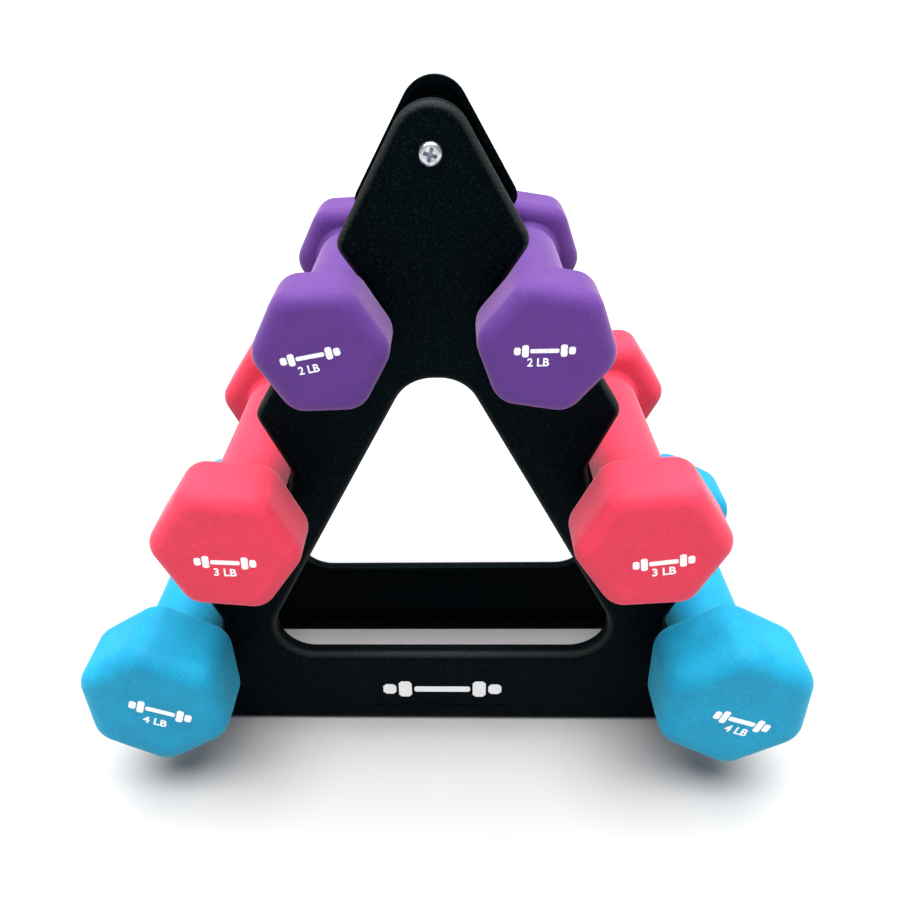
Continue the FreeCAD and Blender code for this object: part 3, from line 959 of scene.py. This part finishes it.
@dataclass
class Screws:
    """The six pan-head screws that hold the crossbars, made as one repeated shape.

    The arms of the cross end at slightly different depths, so that their floors never coincide.
    """

    zinc: ZincPlate
    head_radius: float = 4.25
    head_height: float = 2.5
    head_rim: float = 0.9
    shank_radius: float = 2.0
    length: float = 16.0
    point: float = 2.0
    recess_reach: float = 2.5
    recess_half: float = 0.65
    recess_depth: float = 1.5
    recess_turn: float = 2.3
    arm_depths: Tuple[float, float] = (2.0, 2.05)
    recess_margin: float = 1.06
    recess_lip: float = 0.2
    seat_gap: float = 0.1
    bars: Tuple[str, ...] = ("top", "left", "right")
    twists: Tuple[float, ...] = (14.0, -31.0, 52.0, 8.0, 77.0, -12.0)

    AROUND = 72
    FLAT, CROWN, RIM, UNDER, SHANK, POINT = 3, 7, 2, 2, 3, 2

    def build(self) -> None:
        """Makes the six screws and dresses them."""
        recipe = self.tree()
        ends = [(bar, end) for bar in self.bars for end in ("front", "rear")]
        nodes = ["%s_%s_screw" % pair for pair in ends]
        points = []
        for (bar, end), node in zip(ends, nodes):
            low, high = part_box(node)
            seat = low.y + self.head_height * MM if end == "front" else high.y - self.head_height * MM
            points.append(Vector(((low.x + high.x) / 2, seat, (low.z + high.z) / 2)))
        start = seed_mesh("screw_seats", points)
        turn = start.attributes.new("turn", "FLOAT_VECTOR", "POINT")
        for item, (bar, end), twist in zip(turn.data, ends, self.twists):
            item.vector = (0.0, math.radians(twist), 0.0 if end == "front" else math.pi)
        values = {
            "Head radius": self.head_radius * MM, "Head height": self.head_height * MM,
            "Head rim": self.head_rim * MM, "Shank radius": self.shank_radius * MM,
            "Length": self.length * MM, "Point": self.point * MM,
            "Recess reach": self.recess_reach * MM, "Recess width": 2 * self.recess_half * MM,
            "Recess depth": self.recess_depth * MM, "Material": self.zinc.material}
        piece = recipe.run("screws", start, values, 35.0)
        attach(piece, "rack")
        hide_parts(*nodes)
        log.info("%s: %d faces", piece.name, len(piece.data.polygons))

    def tree(self) -> Recipe:
        """Builds the tree: a turned screw with a cross cut into its head, set on each point.

        Returns:
            The recipe.
        """
        recipe = Recipe("pan_head_screw")
        ask, bench = recipe.ask, recipe.bench
        head, tall, rim = ask("Head radius"), ask("Head height"), ask("Head rim")
        shank, length, point = ask("Shank radius"), ask("Length"), ask("Point")
        reach, width, deep = ask("Recess reach"), ask("Recess width"), ask("Recess depth")
        material = ask("Material", "Material")

        places = [0]
        for count in (self.FLAT, self.CROWN, self.RIM, self.UNDER, self.SHANK, self.POINT):
            places.append(places[-1] + count)
        grid = bench.add("GeometryNodeMeshGrid", None, {
            "Size X": 1.0, "Size Y": 1.0, "Vertices X": self.AROUND + 1, "Vertices Y": places[-1] + 1})
        spot = bench.add("ShaderNodeSeparateXYZ", None, {0: bench.add("GeometryNodeInputPosition")})
        turn = (spot + 0.5) * (2 * math.pi)
        step = (spot.part("Y") + 0.5) * float(places[-1])
        flat, crown, side, under, stem, tip = [
            spread(step, float(low), float(high)) for low, high in zip(places, places[1:])]
        bend = tall - rim
        radius = (flat * (head - bend) + bend * bench.maths("SINE", crown * QUARTER)
                  - under * (head - shank) - tip * shank)
        along = (bend * (1.0 - bench.maths("COSINE", crown * QUARTER)) + side * rim
                 + stem * (length - point) + tip * point - tall)
        shape = bench.add("ShaderNodeCombineXYZ", None, {
            0: radius * bench.maths("COSINE", turn), 1: along, 2: radius * bench.maths("SINE", turn)})
        turned = bench.add("GeometryNodeSetPosition", None, {"Geometry": grid, "Position": shape})
        closed = bench.add("GeometryNodeMergeByDistance", None, {"Geometry": turned, "Distance": 1e-6})
        arms = []
        for axis, share in zip((0, 2), self.arm_depths):
            size = bench.add("ShaderNodeCombineXYZ", None, {
                axis: reach * 2.0, 1: deep * share, 2 - axis: width})
            cube = bench.add("GeometryNodeMeshCube", None, {"Size": size})
            lift = bench.add("ShaderNodeCombineXYZ", None, {1: -tall})
            arms.append(bench.add("GeometryNodeTransform", None, {
                "Geometry": cube, "Translation": lift,
                "Rotation": (0.0, math.radians(self.recess_turn), 0.0)}))
        cut = closed
        for arm in arms:
            cut = bench.add("GeometryNodeMeshBoolean", {"operation": "DIFFERENCE"}, {0: cut, 1: arm})
        # marks the faces of the cross recess, where the zinc finish paints shade
        inner = bench.add("ShaderNodeSeparateXYZ", None, {0: bench.add("GeometryNodeInputPosition")})
        out = bench.maths("SQRT", inner * inner + inner.part("Z") * inner.part("Z"))
        within = bench.maths("LESS_THAN", out, reach * self.recess_margin)
        sunk = bench.maths("GREATER_THAN", inner.part("Y"), deep * self.recess_lip - tall)
        above = bench.maths("LESS_THAN", inner.part("Y"), -self.seat_gap * MM)
        cut = bench.add("GeometryNodeStoreNamedAttribute", {"domain": "FACE"}, {
            "Geometry": cut, "Name": "recess", "Value": within * sunk * above})
        turns = bench.add("GeometryNodeInputNamedAttribute", {"data_type": "FLOAT_VECTOR"}, {"Name": "turn"})
        seats = bench.add("GeometryNodeMeshToPoints", None, {"Mesh": recipe.given})
        placed = bench.add("GeometryNodeInstanceOnPoints", None, {
            "Points": seats, "Instance": cut,
            "Rotation": bench.add("FunctionNodeEulerToRotation", None, {0: turns})})
        recipe.close(placed, material)
        return recipe


# ---------------------------------------------------------------- studio


@dataclass
class Studio:
    """A plain pale floor, soft light from above and a fixed camera."""

    camera_place: Tuple[float, float, float] = (8.25, -355.13, 344.89)
    pitch: float = 33.615
    yaw: float = -3.424
    tilt: float = -2.331
    lens: float = 33.476
    shift: Tuple[float, float] = (0.0390, 0.0682)
    floor_radius: float = 14.0
    overhead_strength: float = 8.0
    overhead_spread: float = 72.0
    overhead_turn: float = -3.0
    fill_place: Tuple[float, float, float] = (-0.5, -1.5, 0.9)
    fill_aim: Tuple[float, float, float] = (0.0, 0.0, 0.12)
    fill_size: float = 1.2
    fill_power: float = 2.0
    sky_light: float = 0.36
    backdrop_light: float = 0.7

    def build(self) -> None:
        """Makes the floor, the lights and the camera."""
        self.floor()
        self.overhead()
        self.fill()
        self.sky()
        self.camera()

    def floor(self) -> None:
        """A round floor under everything."""
        work = bmesh.new()
        bmesh.ops.create_circle(work, cap_ends=True, segments=96, radius=self.floor_radius)
        mesh = bpy.data.meshes.new("floor")
        work.to_mesh(mesh)
        work.free()
        floor = bpy.data.objects.new("floor", mesh)
        bpy.context.scene.collection.objects.link(floor)
        PaleFloor().dress(floor)

    def overhead(self) -> None:
        """One broad, even light from straight above."""
        light = bpy.data.lights.new("overhead", "SUN")
        light.energy = self.overhead_strength
        light.angle = math.radians(self.overhead_spread)
        holder = bpy.data.objects.new("overhead", light)
        holder.rotation_euler = (math.radians(self.overhead_turn), 0.0, 0.0)
        bpy.context.scene.collection.objects.link(holder)

    def fill(self) -> None:
        """One large, weak lamp in front."""
        place = Vector(self.fill_place)
        light = bpy.data.lights.new("front_fill", "AREA")
        light.shape = "SQUARE"
        light.size = self.fill_size
        light.energy = self.fill_power
        holder = bpy.data.objects.new("front_fill", light)
        holder.location = place
        holder.rotation_euler = (Vector(self.fill_aim) - place).to_track_quat("-Z", "Y").to_euler()
        bpy.context.scene.collection.objects.link(holder)

    def sky(self) -> None:
        """Even white surroundings that add only a little light."""
        world = bpy.data.worlds.new("studio")
        world.use_nodes = True
        world.node_tree.nodes.clear()
        bench = Bench(world.node_tree)
        seen = bench.add("ShaderNodeLightPath", out="Is Camera Ray")
        strength = self.sky_light + self.backdrop_light * seen
        glow = bench.add("ShaderNodeBackground", None, {"Color": (1, 1, 1, 1), "Strength": strength})
        bench.add("ShaderNodeOutputWorld", None, {"Surface": glow})
        bpy.context.scene.world = world
        bpy.context.scene.view_settings.view_transform = "Standard"

    def camera(self) -> None:
        """The camera, looking down at the front of the rack."""
        pitch, yaw, tilt = (math.radians(angle) for angle in (self.pitch, self.yaw, self.tilt))
        ahead = Vector((math.sin(yaw) * math.cos(pitch), math.cos(yaw) * math.cos(pitch), -math.sin(pitch)))
        right = Vector((math.cos(yaw), -math.sin(yaw), 0.0))
        above = right.cross(ahead)
        across = math.cos(tilt) * right + math.sin(tilt) * above
        up = -math.sin(tilt) * right + math.cos(tilt) * above
        data = bpy.data.cameras.new("camera")
        data.lens = self.lens
        data.sensor_width = 36.0
        data.shift_x, data.shift_y = self.shift
        data.clip_start = 0.01
        holder = bpy.data.objects.new("camera", data)
        turn = Matrix((across, up, -ahead)).transposed().to_4x4()
        holder.matrix_world = Matrix.Translation(Vector(self.camera_place) * MM) @ turn
        bpy.context.scene.collection.objects.link(holder)
        bpy.context.scene.camera = holder


# ---------------------------------------------------------------- all of it


def main() -> None:
    """Builds every piece in order."""
    logging.basicConfig(level=logging.INFO, format="%(name)s %(message)s")
    grained = MouldedPlastic("grained_black_plastic", Grain.LEATHER)
    satin = MouldedPlastic("satin_black_plastic", Grain.SATIN)
    iron = CastIron()
    coats = {
        Tier.UPPER: SoftCoat("purple_coat", (0.078, 0.022, 0.185), (0.130, 0.043, 0.280), (1.0, 0.70, 0.95)),
        Tier.MIDDLE: SoftCoat("pink_coat", (0.59, 0.027, 0.060), (0.80, 0.052, 0.108), (1.0, 0.62, 0.70)),
        Tier.LOWER: SoftCoat("blue_coat", (0.002, 0.20, 0.36), (0.010, 0.38, 0.62), (0.2, 0.80, 0.95)),
    }
    rests = {
        (Tier.UPPER, Side.LEFT): (1.5, Layout((-3.0, 0.5), (-3.9, -4.6), 10.0, (22.7, 4.7))),
        (Tier.UPPER, Side.RIGHT): (-10.0, Layout((-1.3, 1.2), (-3.5, -3.3), 0.0, (22.0, 4.6))),
        (Tier.MIDDLE, Side.LEFT): (-5.7, Layout((0.8, -2.6), (0.0, -7.8), -3.0, (25.7, 6.0))),
        (Tier.MIDDLE, Side.RIGHT): (4.1, Layout((3.4, -3.6), (4.0, -8.2), 8.0, (24.4, 6.0))),
        (Tier.LOWER, Side.LEFT): (-29.0, Layout((4.4, 1.3), (0.6, -5.4), -20.0, (29.1, 7.5))),
        (Tier.LOWER, Side.RIGHT): (-29.0, Layout((2.0, -3.5), (0.4, -9.4), -20.0, (27.3, 7.5))),
    }
    Studio().build()
    for node in ("front_panel", "rear_panel"):
        SidePanel(node, grained).build()
    BarBadge(WhiteInk("white_ink_badge", (0.5, 0.5, 0.5))).build()
    Crossbars(satin).build()
    Screws(ZincPlate()).build()
    recipe = HexDumbbellRecipe()
    for (tier, side), (roll, layout) in rests.items():
        Dumbbell(tier, side, roll, coats[tier], iron, layout).build(recipe)


if __name__ == "__main__":
    main()
